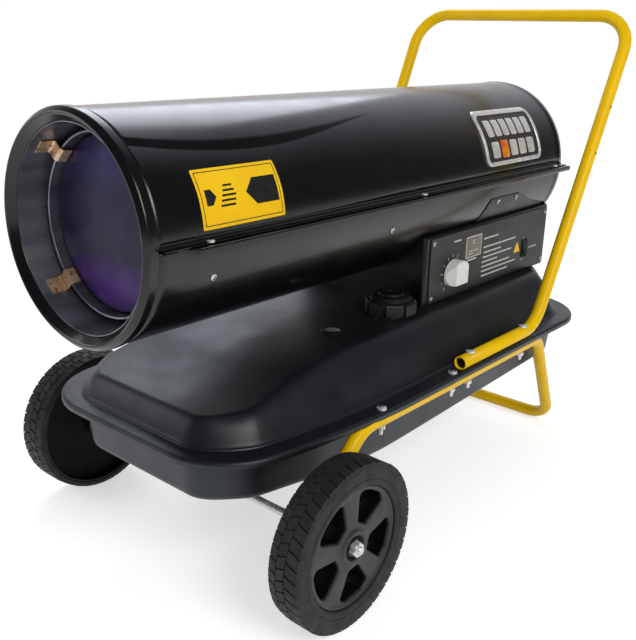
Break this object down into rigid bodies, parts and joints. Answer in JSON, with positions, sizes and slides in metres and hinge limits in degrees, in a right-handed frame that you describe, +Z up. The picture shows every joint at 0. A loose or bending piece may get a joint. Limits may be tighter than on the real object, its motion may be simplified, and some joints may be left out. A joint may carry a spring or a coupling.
{
  "type": "forced air heater",
  "caption": "Portable forced air heater: a round black barrel over a flat fuel tank, carried on a tubular yellow cart with rubber wheels and a push handle.",
  "frame": {"origin": "on the floor, below the middle of the bounding box", "axes": "+Z is up, -Y is the way the hot air leaves the outlet, +X is the side with the control panel and the filler"},
  "size_m": [0.522, 0.907, 0.6785],
  "materials": {
    "black_enamel": "satin black baked enamel on sheet steel",
    "bare_steel": "bare cold-rolled sheet, semi-gloss",
    "heat_blued_steel": "stainless sheet tinted purple and blue by heat",
    "bronzed_steel": "sheet steel tinted bronze by heat",
    "brass": "machined, satin",
    "copper_line": "drawn copper tube, dull",
    "cast_aluminium": "as cast",
    "zinc": "bright zinc plate",
    "ground_steel": "ground shaft steel",
    "yellow_enamel": "gloss yellow powder coat",
    "black_plastic": "moulded, fine matt grain",
    "grey_plastic": "moulded, matt",
    "white_plastic": "moulded, semi-gloss",
    "ceramic": "glazed ceramic",
    "filter_foam": "open-cell foam",
    "circuit_board": "green solder mask",
    "grey_window": "smoked window over the display",
    "clear_lens": "clear moulded lens",
    "tyre_rubber": "solid black rubber",
    "nameplate": "chromed frame round a dark plate, no lettering"
  },
  "bodies": {
    "heater": {"outlet_ring": "black_enamel", "upper_shell": "black_enamel", "lower_shell": "black_enamel", "inner_liner": "bare_steel", "combustion_chamber": "bronzed_steel", "front_baffle": "heat_blued_steel", "burner_brackets": "bronzed_steel", "burner_head": "bare_steel", "fuel_nozzle": "brass", "nozzle_adapter": "cast_aluminium", "electrodes": "ceramic", "photocell": "black_plastic", "fuel_line": "black_plastic", "air_line": "copper_line", "motor_body": "black_enamel", "motor_mount": "bare_steel", "pump_housing": "cast_aluminium", "pump_end_cover": "cast_aluminium", "air_filter": "filter_foam", "filter_cover": "black_plastic", "rear_guard": "black_enamel", "control_box": "black_enamel", "control_panel": "black_enamel", "left_cover": "black_enamel", "display_window": "grey_window", "control_board": "circuit_board", "thermostat": "black_plastic", "power_switch": "black_plastic", "ignition_transformer": "black_plastic", "saddle_straps": "black_enamel", "cable_gland": "black_plastic", "tank_top": "black_enamel", "tank_pan": "black_enamel", "filler_neck": "bare_steel", "fuel_gauge": "black_plastic", "gauge_lens": "clear_lens", "pickup_tube": "brass", "fuel_filter": "filter_foam", "drain_plug": "zinc", "frame_tube": "yellow_enamel", "axle": "zinc", "axle_fittings": "zinc", "handle_tube": "yellow_enamel", "handle_plugs": "black_plastic", "cart_bolts": "zinc", "casing_screws": "zinc", "badge": "nameplate"},
    "fan_rotor": {"fan": "grey_plastic", "motor_shaft": "ground_steel", "motor_rotor": "ground_steel", "pump_rotor": "ground_steel"},
    "wheel_right": {"rim_right": "black_plastic", "tyre_right": "tyre_rubber"},
    "wheel_left": {"rim_left": "black_plastic", "tyre_left": "tyre_rubber"},
    "thermostat_dial": {"thermostat_knob": "white_plastic"},
    "rocker": {"switch_rocker": "black_plastic"},
    "filler_cap": {"fuel_cap": "black_plastic"},
    "float": {"gauge_float": "black_plastic"},
    "needle": {"gauge_needle": "white_plastic"}
  },
  "joints": [
    {"name": "fan_spin", "type": "hinge", "parent": "heater", "child": "fan_rotor", "pos_m": [0, 0.0785, 0.438], "axis": [0, 1, 0], "continuous": true},
    {"name": "wheel_right_spin", "type": "hinge", "parent": "heater", "child": "wheel_right", "pos_m": [0.233, -0.2855, 0.1], "axis": [1, 0, 0], "continuous": true},
    {"name": "wheel_left_spin", "type": "hinge", "parent": "heater", "child": "wheel_left", "pos_m": [-0.233, -0.2855, 0.1], "axis": [1, 0, 0], "continuous": true},
    {"name": "thermostat_turn", "type": "hinge", "parent": "heater", "child": "thermostat_dial", "pos_m": [0.115, 0.101, 0.308], "axis": [1, 0, 0], "range_deg": [-135, 135]},
    {"name": "power_rock", "type": "hinge", "parent": "heater", "child": "rocker", "pos_m": [0.1105, 0.318, 0.309], "axis": [0, 1, 0], "range_deg": [0, 20]},
    {"name": "cap_unscrew", "type": "hinge", "parent": "heater", "child": "filler_cap", "pos_m": [0.092, -0.0175, 0.285], "axis": [0, 0, 1], "range_deg": [0, 360]},
    {"name": "float_rise", "type": "slide", "parent": "heater", "child": "float", "axis": [0, 0, 1], "range_m": [0, 0.095]},
    {"name": "needle_turn", "type": "hinge", "parent": "heater", "child": "needle", "pos_m": [0.08, -0.1265, 0.2], "axis": [0, 0, 1], "range_deg": [0, 160]}
  ],
  "couplings": [
    {"joint": "needle_turn", "follows": "float_rise", "rad_per_m": 29}
  ]
}
